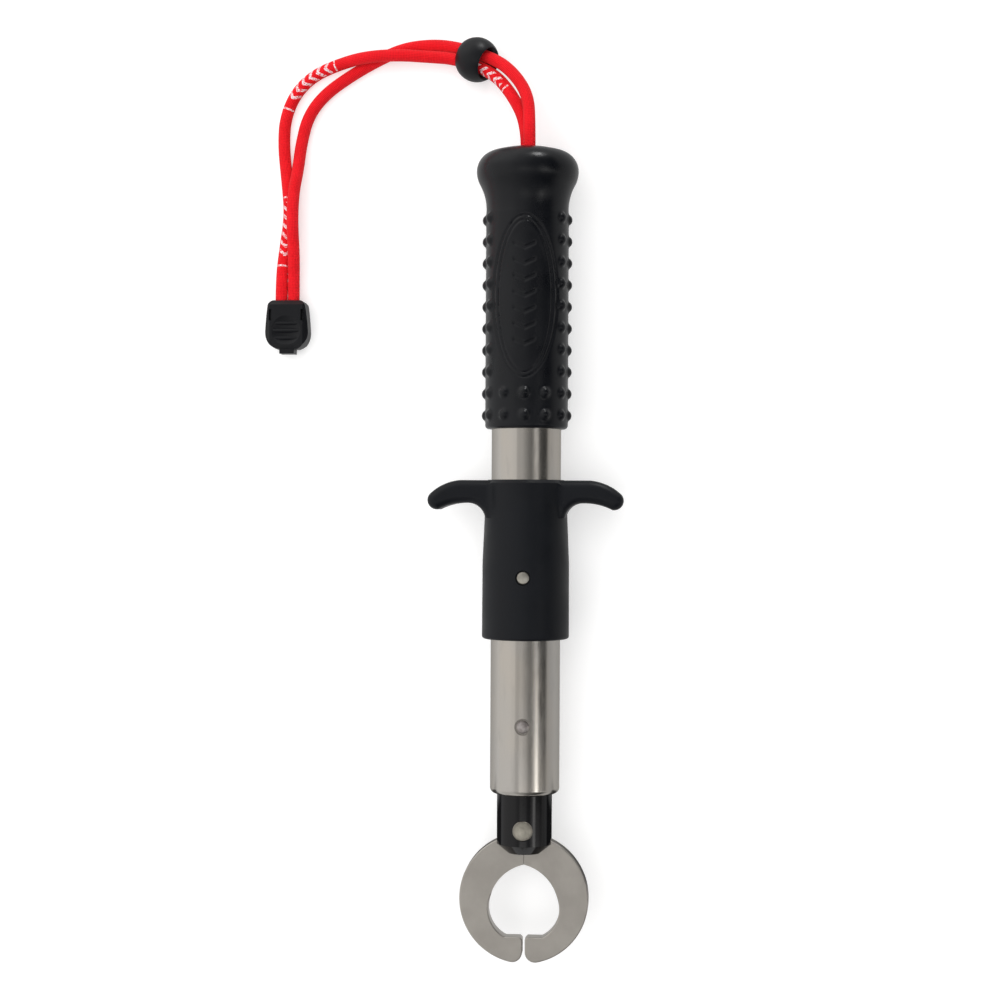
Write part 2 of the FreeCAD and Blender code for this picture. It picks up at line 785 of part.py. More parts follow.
NODES = {
    "body_tube": body_tube,
    "jaw_housing": jaw_housing,
    "body_pin": body_pin,
    "jaw_pivot_pin": jaw_pivot_pin,
    "jaw_spacer": jaw_spacer,
    "spring_stop": spring_stop,
    "stop_pin": stop_pin,
    "grip": grip,
    "end_plug": end_plug,
    "lanyard_pin": lanyard_pin,
    "lanyard_bight": lanyard_bight,
    "trigger_sleeve": trigger_sleeve,
    "trigger_pin": trigger_pin,
    "pull_rod": pull_rod,
    "rod_collar": rod_collar,
    "cam_pin": cam_pin,
    "spring_washer": spring_washer,
    "return_spring": return_spring,
    "left_jaw": lambda: jaw(-1),
    "right_jaw": lambda: jaw(1),
    "lanyard_plain_strand": lambda: strand("plain strand", PLAIN_STRAND),
    "lanyard_printed_strand": lambda: strand("printed strand", PRINTED_STRAND),
    "cord_bead": cord_bead,
    "cord_end_front": cord_end_front,
    "cord_end_back": cord_end_back,
}


def main():
    os.makedirs("parts", exist_ok=True)
    for name, make in NODES.items():
        shape = make()
        if shape.ShapeType != "Solid" and len(shape.Solids) == 1:
            shape = shape.Solids[0]
        box = shape.optimalBoundingBox()
        print(
            "%-24s %d solid(s) valid %s volume %8.1f  x %6.1f %6.1f  y %6.1f %6.1f  z %5.1f %5.1f"
            % (
                name, len(shape.Solids), shape.isValid(), shape.Volume,
                box.XMin, box.XMax, box.YMin, box.YMax, box.ZMin, box.ZMax,
            )
        )
        shape.exportStep("parts/%s.step" % name)


main()
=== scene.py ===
import math

import bmesh
import bpy
import numpy as np
from mathutils import Matrix, Vector


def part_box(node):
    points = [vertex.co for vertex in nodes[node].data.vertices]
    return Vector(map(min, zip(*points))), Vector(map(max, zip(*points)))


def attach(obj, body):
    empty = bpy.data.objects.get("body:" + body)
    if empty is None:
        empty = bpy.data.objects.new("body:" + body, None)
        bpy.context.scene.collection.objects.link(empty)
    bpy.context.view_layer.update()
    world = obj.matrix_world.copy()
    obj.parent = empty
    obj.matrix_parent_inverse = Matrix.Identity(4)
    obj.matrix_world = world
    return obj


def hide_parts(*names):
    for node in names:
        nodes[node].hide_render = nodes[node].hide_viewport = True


# The looks of a fish lip grip that lies flat on a floor, in metres, +Z up.
# The tool's axis is parallel to Y. The jaws point to -Y, and the grip and its lanyard to +Y.
# The grip's outline and relief and all the shaders work in millimetres. A station is a place
# along the tool's axis, in millimetres from a point 1.2 mm short of the tube, towards the grip.

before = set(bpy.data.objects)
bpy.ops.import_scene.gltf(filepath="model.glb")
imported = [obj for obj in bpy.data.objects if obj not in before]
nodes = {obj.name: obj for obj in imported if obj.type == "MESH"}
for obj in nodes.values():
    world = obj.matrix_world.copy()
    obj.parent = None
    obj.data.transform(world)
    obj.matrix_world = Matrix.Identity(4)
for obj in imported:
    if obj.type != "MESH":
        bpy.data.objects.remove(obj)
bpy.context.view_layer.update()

MM = 0.001
GRIP_LOW_S = 116.25
TUBE_LOW, TUBE_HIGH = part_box("body_tube")
AXIS_Z = (TUBE_LOW.z + TUBE_HIGH.z) / 2
STATION_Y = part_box("grip")[0].y - GRIP_LOW_S * MM

# Camera
CAMERA_TARGET = Vector((-0.0083, 0.0173, AXIS_Z))
CAMERA_DISTANCE = 0.603
CAMERA_TILT = math.radians(4.5)
CAMERA_ROLL = math.radians(0.3)
CAMERA_LENS = 68.4

# Pins: the station and the radius of each head
JAW_PIVOT = (-9.7, 3.175)
BODY_PIN = (23.1, 2.0)
TRIGGER_PIN = (69.6, 2.125)

# Grip
GRIP_R = 13.1
GRIP_BORE_R = 11.0
GRIP_TOP_S = 205.1
CORD_HOLE_R = 4.15
CORD_HOLE_LOW_S = 197.0
GRIP_COLUMNS = 256
GRIP_STEP = 0.36
GRIP_BORE_STEP = 2.0
# Stations and radii. A row of four gives an arc, by a point on it and its end.
GRIP_PROFILE = [
    (GRIP_LOW_S, GRIP_BORE_R),
    (GRIP_LOW_S, 11.9),
    (116.6, 12.75, 117.45, GRIP_R),
    (184.0, GRIP_R),
    (189.4, 13.45, 193.4, 14.95),
    (195.6, 15.85, 198.0, 16.15),
    (202.0, 14.6, 204.2, 10.4),
    (204.85, 7.9, GRIP_TOP_S, 5.6),
    (GRIP_TOP_S, CORD_HOLE_R),
    (CORD_HOLE_LOW_S, CORD_HOLE_R),
    (CORD_HOLE_LOW_S, GRIP_BORE_R),
]
# The relief's limits: stations, the least radius, and the ovals' reach each way in radians
RELIEF_LOW_S = 117.4
RELIEF_HIGH_S = 196.0
RELIEF_LEAST_R = 11.5
OVAL_REACH = 1.2
NUB_R = 1.9
NUB_SINK = 0.75
NUB_FOOT = 0.22
NUB_FOOT_IN = 1.2
NUB_FOOT_OUT = 2.5
NUB_FIRST_S = 120.5
NUB_PITCH = 6.88
NUB_ROWS = 10
NUB_FULL_ROWS = 2
NUB_STEP_DEG = 30
NUB_GAP_DEG = 31
OVAL_S = 157.3
OVAL_LONG = 25.1
OVAL_WIDE = 10.0
# Each groove's inset from the oval, its half width and its depth
OVAL_GROOVES = ((0.0, 0.32, 0.42), (1.45, 0.29, 0.38))
PANEL_INSET = 1.45
PANEL_DEPTH = 0.16
CHEVRONS = 7
CHEVRON_PITCH = 5.0
CHEVRON_DEPTH = 0.32
CHEVRON_SLANT = 0.45
CHEVRON_LEAN_COSINE = 0.91

# Lanyard
CORD_D = 3.9
PLAIN_STRAND = [
    (0.0006, 0.1286, 0.0182), (0.0006, 0.1366, 0.0182), (0.0, 0.1453, 0.0162),
    (-0.0040, 0.1524, 0.0133), (-0.0102, 0.1582, 0.01105), (-0.0226, 0.1638, 0.00335),
    (-0.0310, 0.1654, 0.00205), (-0.0412, 0.1645, 0.00205), (-0.0503, 0.1605, 0.00205),
    (-0.0592, 0.1555, 0.00205), (-0.0676, 0.1496, 0.00205), (-0.0730, 0.1426, 0.00205),
    (-0.0752, 0.1338, 0.00215), (-0.0760, 0.1250, 0.0037), (-0.0771, 0.1168, 0.0062),
    (-0.0774, 0.1068, 0.0062), (-0.0769, 0.0974, 0.0056), (-0.07715, 0.0892, 0.0042),
    (-0.07715, 0.0819, 0.0042),
]
PRINTED_STRAND = [
    (-0.0005, 0.1286, 0.0141), (-0.0005, 0.1368, 0.0141), (-0.0053, 0.1468, 0.0119),
    (-0.0119, 0.1546, 0.0097), (-0.0242, 0.1602, 0.0047), (-0.0332, 0.1607, 0.0057),
    (-0.0432, 0.1613, 0.0065), (-0.0538, 0.1607, 0.0065), (-0.0628, 0.1594, 0.0022),
    (-0.0710, 0.1560, 0.00205), (-0.0770, 0.1504, 0.00205), (-0.0806, 0.1422, 0.00205),
    (-0.0811, 0.1328, 0.00205), (-0.0799, 0.1218, 0.00205), (-0.0788, 0.1104, 0.00205),
    (-0.0804, 0.0988, 0.0024), (-0.08115, 0.0896, 0.0042), (-0.08115, 0.0819, 0.0042),
]
CORD_SIDES = 48
SPLINE_STEPS = 24
BRAID_AROUND = 12.0
BRAID_ALONG = 6.2
# White print on the cord, in millimetres, but for the stripe's share of the pitch
PRINT_SLANT = 1.5
PRINT_PITCH = 2.9
PRINT_STRIPE = 0.42
PRINT_MARGIN = 1.6
PRINT_BAR = 0.28


# Nodes


class Nodes:
    """A node tree, with short calls for the nodes that the shaders share."""

    def __init__(self, tree):
        self.tree = tree
        tree.nodes.clear()

    def add(self, kind):
        return self.tree.nodes.new("ShaderNode" + kind)

    def join(self, value, socket):
        if isinstance(value, bpy.types.NodeSocket):
            self.tree.links.new(value, socket)
        else:
            socket.default_value = value

    def math(self, operation, *values):
        node = self.add("Math")
        node.operation = operation
        for value, socket in zip(values, node.inputs):
            self.join(value, socket)
        return node.outputs[0]

    def vector(self, operation, *values, scale=None):
        node = self.add("VectorMath")
        node.operation = operation
        for value, socket in zip(values, node.inputs):
            self.join(value, socket)
        if scale is not None:
            self.join(scale, node.inputs["Scale"])
        return node.outputs[0]

    def split(self, value):
        node = self.add("SeparateXYZ")
        self.join(value, node.inputs[0])
        return node.outputs

    def spread(self, value, low, high, to_low=0.0, to_high=1.0):
        """The value moved from one range to another, and held inside it."""
        node = self.add("MapRange")
        for number, item in enumerate((value, low, high, to_low, to_high)):
            self.join(item, node.inputs[number])
        return node.outputs[0]

    def noise(self, size, stretch=(1, 1, 1), detail=2.0):
        """Noise from about 0.2 to 0.8, whose features are about that many millimetres wide."""
        node = self.add("TexNoise")
        scaled = self.vector("DIVIDE", self.place, tuple(size * s for s in stretch))
        self.join(scaled, node.inputs["Vector"])
        node.inputs["Scale"].default_value = 1.0
        node.inputs["Detail"].default_value = detail
        return node.outputs["Fac"]

    def mix(self, factor, first, second):
        node = self.add("Mix")
        node.data_type = "RGBA"
        self.join(factor, node.inputs["Factor"])
        self.join(first, node.inputs["A"])
        self.join(second, node.inputs["B"])
        return node.outputs["Result"]

    def bump(self, height, depth, below=None):
        """Relief of that many millimetres for a height from 0 to 1."""
        node = self.add("Bump")
        node.inputs["Strength"].default_value = 1.0
        node.inputs["Distance"].default_value = depth * MM
        self.join(height, node.inputs["Height"])
        if below is not None:
            self.join(below, node.inputs["Normal"])
        return node.outputs[0]

    def ramp(self, value, stops):
        """A grey level from a value, through stops of value and level, joined by lines."""
        low, high = stops[0][0], stops[-1][0]
        node = self.add("ValToRGB")
        self.join(self.spread(value, low, high), node.inputs[0])
        elements = node.color_ramp.elements
        while len(elements) < len(stops):
            elements.new(0.5)
        for element, (place, level) in zip(elements, stops):
            element.position = (place - low) / (high - low)
            element.color = rgba(level, level, level)
        return node.outputs[0]


class Shader(Nodes):
    """A material on the Principled shader."""

    def __init__(self, name):
        self.material = bpy.data.materials.new(name)
        self.material.use_nodes = True
        super().__init__(self.material.node_tree)
        self.surface = self.add("BsdfPrincipled")
        self.join(self.surface.outputs[0], self.add("OutputMaterial").inputs["Surface"])
        coordinates = self.add("TexCoord").outputs["Object"]
        self.place = self.vector("SCALE", coordinates, scale=1 / MM)

    def from_pin(self, station):
        """Distance from the axis of a pin that stands upright at a station, in millimetres."""
        x, y, _ = self.split(self.place)
        off = self.math("SUBTRACT", y, STATION_Y / MM + station)
        square = self.math("ADD", self.math("POWER", x, 2), self.math("POWER", off, 2))
        return self.math("SQRT", square)

    def finish(self, color, roughness, normal=None, **constants):
        self.join(color, self.surface.inputs["Base Color"])
        self.join(roughness, self.surface.inputs["Roughness"])
        if normal is not None:
            self.join(normal, self.surface.inputs["Normal"])
        for name, value in constants.items():
            self.surface.inputs[name.replace("_", " ")].default_value = value
        return self.material


def rgba(red, green, blue):
    return (red, green, blue, 1.0)


# Materials


def brushed_steel():
    """Drawn tube: fine lines along the axis, faint handling marks, and painted shade in the groove
    round the body pin.
    """
    s = Shader("brushed_steel_tube")
    ring = s.from_pin(BODY_PIN[0])
    # The dark ring round the body pin is painted shade for its groove.
    painted_groove_shade = s.math("MULTIPLY", s.spread(ring, 1.9, 2.15), s.spread(ring, 2.45, 2.75, 0.6, 0.0))
    lines = s.noise(0.09, (1, 60, 1), 3)
    marks = s.noise(2.2, (1, 3.5, 1), 4)
    cloud = s.noise(14, (1, 2, 1), 2)
    warm = s.mix(s.spread(cloud, 0.35, 0.65), rgba(0.60, 0.58, 0.55), rgba(0.64, 0.60, 0.545))
    color = s.mix(s.spread(marks, 0.55, 0.75, 0, 0.35), warm, rgba(0.52, 0.50, 0.47))
    color = s.mix(painted_groove_shade, color, rgba(0.13, 0.115, 0.105))
    fine = s.spread(lines, 0.25, 0.75, 0.12, 0.2)
    roughness = s.math("ADD", fine, s.spread(marks, 0.4, 0.8, 0, 0.07))
    normal = s.bump(lines, 0.004)
    return s.finish(color, roughness, normal, Metallic=1.0, Specular_Tint=rgba(0.7, 0.69, 0.67))


def tumbled_steel(name, light, dark, grain, roughness):
    """Flat steel with a fine even grain, a few brighter specks and small dents."""
    s = Shader(name)
    fine = s.noise(grain, detail=3)
    cloud = s.noise(7, detail=3)
    dents = s.noise(1.3, detail=1)
    base = s.mix(s.spread(cloud, 0.35, 0.65), rgba(*light), rgba(*dark))
    color = s.mix(s.spread(fine, 0.58, 0.72, 0, 0.4), base, rgba(0.68, 0.66, 0.63))
    rough = s.math("ADD", s.spread(fine, 0.3, 0.7, -0.06, 0.06), roughness)
    normal = s.bump(s.spread(dents, 0.6, 0.75), -0.01, s.bump(fine, 0.006))
    return s.finish(color, rough, normal, Metallic=1.0)


def pin_steel(name, station, radius, light, dark):
    """A pin's domed head, dull and a little uneven, with painted shade darkening its rim."""
    s = Shader(name)
    ring = s.from_pin(station)
    fine = s.noise(0.22, detail=3)
    cloud = s.noise(1.6, detail=3)
    base = s.mix(s.spread(cloud, 0.35, 0.65), rgba(*light), rgba(*dark))
    # The darker ring at the edge of the head is painted shade.
    painted_rim_shade = s.spread(ring, 0.72 * radius, 0.98 * radius, 0.0, 0.6)
    color = s.mix(painted_rim_shade, base, rgba(0.20, 0.18, 0.16))
    dome = s.spread(s.math("POWER", s.math("DIVIDE", ring, radius), 2), 0, 1, 1, 0)
    normal = s.bump(fine, 0.008, s.bump(cloud, 0.12, s.bump(dome, 0.22)))
    return s.finish(color, 0.3, normal, Metallic=1.0)


def moulded_plastic(name, color, lighter, grain, depth, roughness, rough_spread=0.06, **constants):
    """Moulded plastic or rubber with a fine spark-eroded grain and slightly uneven gloss."""
    s = Shader(name)
    fine = s.noise(grain, detail=2)
    cloud = s.noise(9, detail=3)
    base = s.mix(s.spread(cloud, 0.3, 0.7), rgba(*color), rgba(*lighter))
    rough = s.math("ADD", s.spread(cloud, 0.3, 0.7, -rough_spread, rough_spread), roughness)
    normal = s.bump(fine, depth)
    return s.finish(base, rough, normal, **constants)


def woven_cord(name, patches):
    """Red braided cord with patches of white print.

    Each patch is its start and end in millimetres along the cord, and its middle and half
    width in radians round it.
    """
    s = Shader(name)
    attribute = s.add("Attribute")
    attribute.attribute_name = "lay"
    cosine, sine, along = s.split(attribute.outputs["Vector"])
    angle = s.math("ARCTAN2", sine, cosine)
    turns = s.math("MULTIPLY", angle, BRAID_AROUND)
    lean = s.math("MULTIPLY", along, BRAID_ALONG)
    one = s.math("SINE", s.math("ADD", turns, lean))
    two = s.math("SINE", s.math("SUBTRACT", turns, lean))
    weave = s.spread(s.math("MULTIPLY", one, two), -1, 1)
    fibre = s.noise(0.25, detail=3)
    patchy = s.noise(5, detail=2)
    base = s.mix(s.spread(patchy, 0.3, 0.7), rgba(0.76, 0.008, 0.014), rgba(0.84, 0.011, 0.019))
    # Dark red where the weave dips is painted shade in the braid's hollows.
    color = s.mix(s.spread(weave, 0.05, 0.5, 0.6, 0), base, rgba(0.34, 0.002, 0.006))
    ink = print_mask(s, along, angle, *patches[0])
    for patch in patches[1:]:
        ink = s.math("MAXIMUM", ink, print_mask(s, along, angle, *patch))
    worn = s.spread(s.noise(0.45, detail=3), 0.36, 0.56)
    color = s.mix(s.math("MULTIPLY", ink, worn), color, rgba(0.84, 0.74, 0.77))
    height = s.math("ADD", weave, s.math("MULTIPLY", fibre, 0.6))
    normal = s.bump(height, 0.16)
    return s.finish(
        color, 0.8, normal, Sheen_Weight=0.12, Sheen_Roughness=0.5,
        Sheen_Tint=rgba(1.0, 0.3, 0.28), Specular_IOR_Level=0.14,
    )


def print_mask(s, along, angle, start, end, middle, reach):
    """White chevrons between two thin bars, on one side of a cord."""
    across = s.math("SUBTRACT", angle, middle)
    off = s.math("ABSOLUTE", across)
    inside = s.math("LESS_THAN", off, reach)
    slant = s.math("MULTIPLY", off, PRINT_SLANT)
    shifted = s.math("ADD", along, slant)
    phase = s.math("FRACT", s.math("DIVIDE", shifted, PRINT_PITCH))
    stripe = s.math("LESS_THAN", phase, PRINT_STRIPE)
    after = s.math("GREATER_THAN", along, start + PRINT_MARGIN)
    before = s.math("LESS_THAN", shifted, end - PRINT_MARGIN)
    body = s.math("MULTIPLY", s.math("MULTIPLY", stripe, after), before)
    for place in (start, end):
        gap = s.math("ABSOLUTE", s.math("SUBTRACT", along, place))
        body = s.math("MAXIMUM", body, s.math("LESS_THAN", gap, PRINT_BAR))
    return s.math("MULTIPLY", body, inside)


# Meshes


def arc_points(start, via, end, step):
    """Points on the circle through three points, from after the start to the end."""
    (ax, ay), (bx, by), (cx, cy) = start, via, end
    d = 2 * (ax * (by - cy) + bx * (cy - ay) + cx * (ay - by))
    a2, b2, c2 = ax * ax + ay * ay, bx * bx + by * by, cx * cx + cy * cy
    ux = (a2 * (by - cy) + b2 * (cy - ay) + c2 * (ay - by)) / d
    uy = (a2 * (cx - bx) + b2 * (ax - cx) + c2 * (bx - ax)) / d
    radius = math.hypot(ax - ux, ay - uy)
    angles = [math.atan2(y - uy, x - ux) for x, y in (start, via, end)]
    sweep = (angles[2] - angles[0]) % (2 * math.pi)
    if (angles[1] - angles[0]) % (2 * math.pi) > sweep:
        sweep -= 2 * math.pi
    count = max(2, math.ceil(abs(sweep) * radius / step))
    turned = [angles[0] + sweep * i / count for i in range(1, count + 1)]
    return [(ux + radius * math.cos(t), uy + radius * math.sin(t)) for t in turned]


def line_points(start, end, step):
    """Points on a straight line, from after the start to the end."""
    count = max(1, math.ceil(math.dist(start, end) / step))
    return [
        (start[0] + (end[0] - start[0]) * i / count, start[1] + (end[1] - start[1]) * i / count)
        for i in range(1, count + 1)
    ]


def profile_points(steps, step):
    """Points round a closed outline of lines and arcs. The closing line is the bore's."""
    points = [steps[0]]
    for item in steps[1:]:
        if len(item) == 4:
            points += arc_points(points[-1], item[:2], item[2:], step)
        else:
            points += line_points(points[-1], item, step)
    points += line_points(points[-1], steps[0], GRIP_BORE_STEP)[:-1]
    return np.array(points)


def smooth_step(value, low, high):
    t = np.clip((value - low) / (high - low), 0, 1)
    return t * t * (3 - 2 * t)


def nub_relief(station, angle):
    """Domes in rows, with a soft foot. The upper rows leave room for an oval each side."""
    height = np.zeros_like(station)
    for row in range(NUB_ROWS):
        middle = NUB_FIRST_S + row * NUB_PITCH
        for degrees in range(0, 360, NUB_STEP_DEG):
            from_oval = min(degrees % 180, 180 - degrees % 180)
            if row >= NUB_FULL_ROWS and from_oval < NUB_GAP_DEG:
                continue
            turn = (angle - math.radians(degrees) + math.pi) % (2 * math.pi) - math.pi
            off = np.hypot(station - middle, turn * GRIP_R)
            dome = np.sqrt(np.clip(NUB_R ** 2 - off ** 2, 0, None)) - NUB_SINK
            foot = NUB_FOOT * (1 - smooth_step(off, NUB_FOOT_IN, NUB_FOOT_OUT))
            height = np.maximum(height, np.maximum(dome, foot))
    return height


def oval_relief(station, angle):
    """A double groove round an oval panel, and shallow chevrons down its middle."""
    side = GRIP_R * np.sin(angle)
    rise = station - OVAL_S
    depth = np.zeros_like(station)
    for inset, wide, deep in OVAL_GROOVES:
        long, across = OVAL_LONG - inset, OVAL_WIDE - inset
        ring = np.hypot(side / across, rise / long)
        slope = np.hypot(side / across ** 2, rise / long ** 2) / np.maximum(ring, 1e-6)
        gap = np.abs(ring - 1) / np.maximum(slope, 1e-6)
        depth = np.maximum(depth, deep * np.exp(-(gap / wide) ** 2))
    inner = np.hypot(side / (OVAL_WIDE - PANEL_INSET), rise / (OVAL_LONG - PANEL_INSET))
    depth = np.maximum(depth, PANEL_DEPTH * smooth_step(1 - inner, 0.0, 0.16))
    across = np.abs(side)
    for number in range(CHEVRONS):
        middle = (number - (CHEVRONS - 1) / 2) * CHEVRON_PITCH
        gap = np.abs(rise - middle - CHEVRON_SLANT * across) * CHEVRON_LEAN_COSINE
        mark = (1 - smooth_step(gap, 0.25, 0.75)) * (1 - smooth_step(across, 3.3, 3.9))
        carved = np.where(mark > 0, PANEL_DEPTH + CHEVRON_DEPTH * mark, 0)
        depth = np.maximum(depth, carved)
    return depth


def grip_mesh():
    """The rubber grip, turned from its profile, with the relief pushed out along its normals."""
    profile = profile_points(GRIP_PROFILE, GRIP_STEP)
    ahead = np.roll(profile, -1, 0) - np.roll(profile, 1, 0)
    ahead /= np.linalg.norm(ahead, axis=1)[:, None]
    angle = np.arange(GRIP_COLUMNS) * 2 * math.pi / GRIP_COLUMNS
    station, turn = np.meshgrid(profile[:, 0], angle, indexing="ij")
    radius = np.repeat(profile[:, 1][:, None], GRIP_COLUMNS, 1)
    outside = (station > RELIEF_LOW_S) & (station < RELIEF_HIGH_S) & (radius > RELIEF_LEAST_R)
    height = nub_relief(station, turn)
    top = np.minimum(turn, 2 * math.pi - turn) < OVAL_REACH
    under = np.abs(turn - math.pi) < OVAL_REACH
    height -= np.where(top | under, oval_relief(station, turn), 0)
    height = np.where(outside, height, 0)
    station = station - height * ahead[:, 1][:, None]
    radius = radius + height * ahead[:, 0][:, None]
    points = np.stack(
        [radius * np.sin(turn) * MM, STATION_Y + station * MM, AXIS_Z + radius * np.cos(turn) * MM],
        -1,
    )
    return grid_mesh("grip_cover", points, wrap_rows=True)


def grid_mesh(name, points, wrap_rows=False, caps=False):
    """A mesh from rings of points. Columns always close, and rows close when asked."""
    rows, columns, _ = points.shape
    r = np.arange(rows if wrap_rows else rows - 1)
    c = np.arange(columns)
    r, c = np.meshgrid(r, c, indexing="ij")
    r2 = (r + 1) % rows
    c2 = (c + 1) % columns
    faces = np.stack([r * columns + c, r * columns + c2, r2 * columns + c2, r2 * columns + c], -1)
    faces = faces.reshape(-1, 4).tolist()
    if caps:
        faces.append(list(range(columns))[::-1])
        last = (rows - 1) * columns
        faces.append([last + i for i in range(columns)])
    mesh = bpy.data.meshes.new(name)
    mesh.from_pydata(points.reshape(-1, 3).tolist(), [], faces)
    bm = bmesh.new()
    bm.from_mesh(mesh)
    bmesh.ops.recalc_face_normals(bm, faces=bm.faces)
    bm.to_mesh(mesh)
    bm.free()
    mesh.shade_smooth()
    mesh.set_sharp_from_angle(angle=math.radians(50))
    thing = bpy.data.objects.new(name, mesh)
    bpy.context.scene.collection.objects.link(thing)
    return thing


def spline_points(points):
    """Points along the smooth NURBS line that has the route's points as its control points."""
    data = bpy.data.curves.new("route", "CURVE")
    data.dimensions = "3D"
    data.resolution_u = SPLINE_STEPS
    spline = data.splines.new("NURBS")
    spline.points.add(len(points) - 1)
    for control, point in zip(spline.points, points):
        control.co = (*point, 1.0)
    spline.order_u = 3
    spline.use_endpoint_u = True
    route = bpy.data.objects.new("route", data)
    bpy.context.scene.collection.objects.link(route)
    bpy.context.view_layer.update()
    line = bpy.data.meshes.new_from_object(route)
    read = [Vector(v.co) for v in line.vertices]
    bpy.data.meshes.remove(line)
    bpy.data.objects.remove(route)
    bpy.data.curves.remove(data)
    return read


def strand_mesh(name, points):
    """A round cord along the route, with the shader's place on it as an attribute."""
    line = spline_points(points)
    up = Vector((0, 0, 1))
    rings = []
    lay = []
    along = 0.0
    for number, here in enumerate(line):
        before = line[max(number - 1, 0)]
        after = line[min(number + 1, len(line) - 1)]
        forward = (after - before).normalized()
        side = forward.cross(up).normalized()
        lift = side.cross(forward)
        along += (here - before).length / MM
        ring = []
        for column in range(CORD_SIDES):
            turn = column * 2 * math.pi / CORD_SIDES
            out = lift * math.cos(turn) + side * math.sin(turn)
            ring.append(here + out * (CORD_D / 2 * MM))
            lay.append((math.cos(turn), math.sin(turn), along))
        rings.append(ring)
    cord = grid_mesh(name, np.array(rings), caps=True)
    attribute = cord.data.attributes.new("lay", "FLOAT_VECTOR", "POINT")
    attribute.data.foreach_set("vector", np.array(lay, np.float32).ravel())
    return cord, line


# The object

grip = grip_mesh()
grip.data.materials.append(
    moulded_plastic(
        "grip_rubber_black", (0.0013, 0.0018, 0.0032), (0.0020, 0.0026, 0.0043), 0.28, 0.012, 0.31,
        Specular_IOR_Level=0.38,
    )
)
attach(grip, "body")
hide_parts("grip")

black_plastic = moulded_plastic(
    "trigger_plastic_black", (0.0016, 0.0023, 0.0040), (0.0023, 0.0032, 0.0052), 0.22, 0.012, 0.44,
    Specular_IOR_Level=0.31,
)
housing_plastic = moulded_plastic(
    "housing_gloss_black", (0.0012, 0.0012, 0.0018), (0.002, 0.002, 0.0028), 1.2, 0.004, 0.12, 0.02,
    Specular_IOR_Level=0.4,
)
cord_plastic = moulded_plastic(
    "cord_parts_black", (0.0022, 0.0026, 0.004), (0.0032, 0.0037, 0.0052), 0.3, 0.02, 0.42,
    Specular_IOR_Level=0.36,
)
inner_plastic = moulded_plastic(
    "inner_plastic_grey", (0.10, 0.10, 0.10), (0.13, 0.13, 0.12), 0.4, 0.01, 0.5
)
inner_cord = moulded_plastic(
    "cord_red_inside", (0.76, 0.008, 0.014), (0.84, 0.011, 0.019), 0.25, 0.08, 0.8,
    Specular_IOR_Level=0.14,
)
tube_steel = brushed_steel()
jaw_steel = tumbled_steel(
    "jaw_tumbled_steel", (0.63, 0.60, 0.555), (0.565, 0.535, 0.495), 0.25, 0.40
)
body_pin_steel = pin_steel("pin_steel_body", *BODY_PIN, (0.62, 0.58, 0.57), (0.40, 0.36, 0.35))
pivot_pin_steel = pin_steel("pin_steel_pivot", *JAW_PIVOT, (0.56, 0.53, 0.46), (0.44, 0.42, 0.36))
trigger_pin_steel = pin_steel(
    "pin_steel_trigger", *TRIGGER_PIN, (0.62, 0.60, 0.54), (0.50, 0.48, 0.42)
)
inner_steel = tumbled_steel("inner_steel", (0.46, 0.45, 0.44), (0.40, 0.39, 0.38), 0.3, 0.38)

plain_cord = woven_cord("cord_red_plain", [(78, 84, 2.4, 0.5), (160, 167, 1.7, 0.6)])
printed_cord = woven_cord(
    "cord_red_printed", [(22, 40, -0.55, 1.0), (84, 106, 0.0, 1.25), (135, 158, -0.2, 1.2)]
)

MATERIALS = {
    "body_tube": tube_steel,
    "jaw_housing": housing_plastic,
    "body_pin": body_pin_steel,
    "jaw_pivot_pin": pivot_pin_steel,
    "trigger_pin": trigger_pin_steel,
    "trigger_sleeve": black_plastic,
    "left_jaw": jaw_steel,
    "right_jaw": jaw_steel,
    "cord_bead": cord_plastic,
    "cord_end_front": cord_plastic,
    "cord_end_back": cord_plastic,
    "rod_collar": inner_plastic,
    "end_plug": inner_plastic,
    "lanyard_bight": inner_cord,
}
for name, node in nodes.items():
    node.material_slots[0].material = MATERIALS.get(name, inner_steel)

STRANDS = (
    ("lanyard_plain", PLAIN_STRAND, plain_cord, 0.169),
    ("lanyard_printed", PRINTED_STRAND, printed_cord, 0.170),
)
for name, route, material, length in STRANDS:
    cord, line = strand_mesh(name, route)
    cord.data.materials.append(material)
    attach(cord, "body")
    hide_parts(name + "_strand")

# Floor, light and camera

FLOOR_HALF = 4.0
FLOOR_GLOW = 0.46
# What reflections show in place of the floor, in millimetres: a glow from left to right, and
# a dark patch across the tool beside its housing
MIRRORED_REACH = 120
MIRRORED_LEFT = 0.68
MIRRORED_RIGHT = 0.44
PATCH_Y = -95
PATCH_DARK = 0.92
# The patch's half width and half length, where it starts to fade and where it is gone
PATCH_WIDE = (70, 90)
PATCH_LONG = (10, 15)


